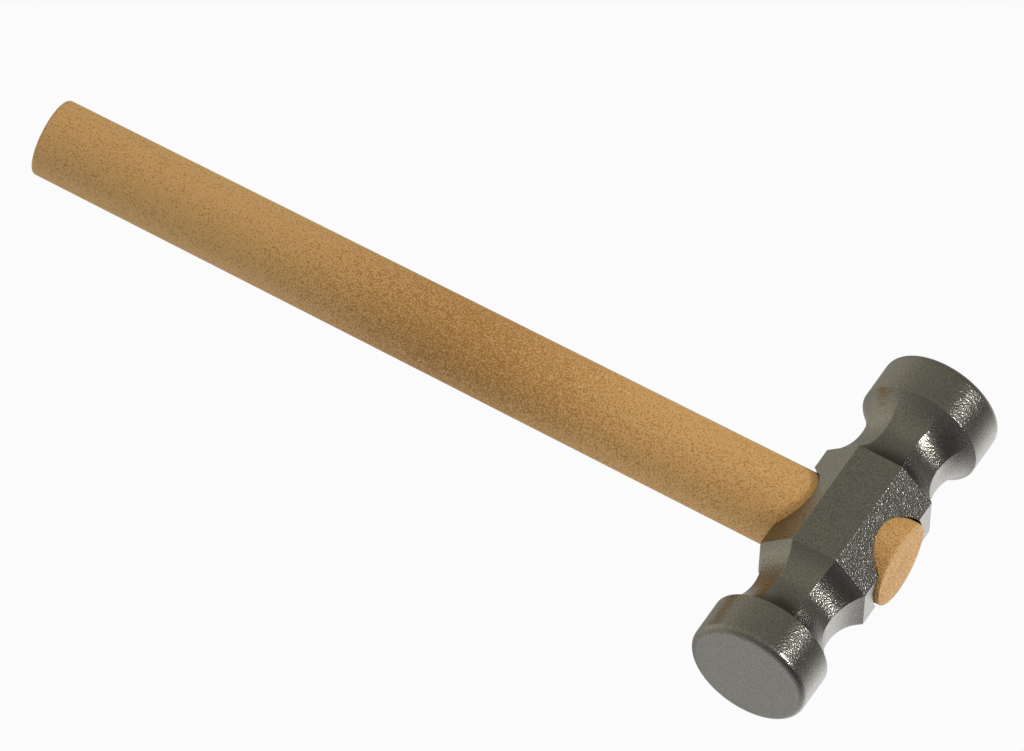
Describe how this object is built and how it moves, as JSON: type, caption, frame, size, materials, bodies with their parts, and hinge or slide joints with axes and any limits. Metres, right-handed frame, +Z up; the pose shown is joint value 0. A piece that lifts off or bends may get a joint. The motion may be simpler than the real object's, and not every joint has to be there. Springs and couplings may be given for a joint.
{
  "type": "blacksmith hammer",
  "caption": "Double-faced forging hammer: octagonal eye block, hollow faceted necks, round striking faces and a round tapered wooden handle locked by a wedge.",
  "frame": {"origin": "under the middle of the hammer's bounding box, on the surface that both round ends of the head lie on", "axes": "+X along the handle towards the head, +Y along the head from one striking face to the other, +Z up from the surface"},
  "size_m": [0.3168, 0.1266, 0.042],
  "materials": {
    "forged_steel": "grit-blasted satin forged steel, bare",
    "handle_wood": "smooth turned hardwood with short darker flecks, oiled",
    "wedge_wood": "split hardwood, trimmed flush with the end grain"
  },
  "bodies": {
    "root": {"hammer_head": "forged_steel", "handle": "handle_wood", "wooden_wedge": "wedge_wood"}
  },
  "joints": []
}
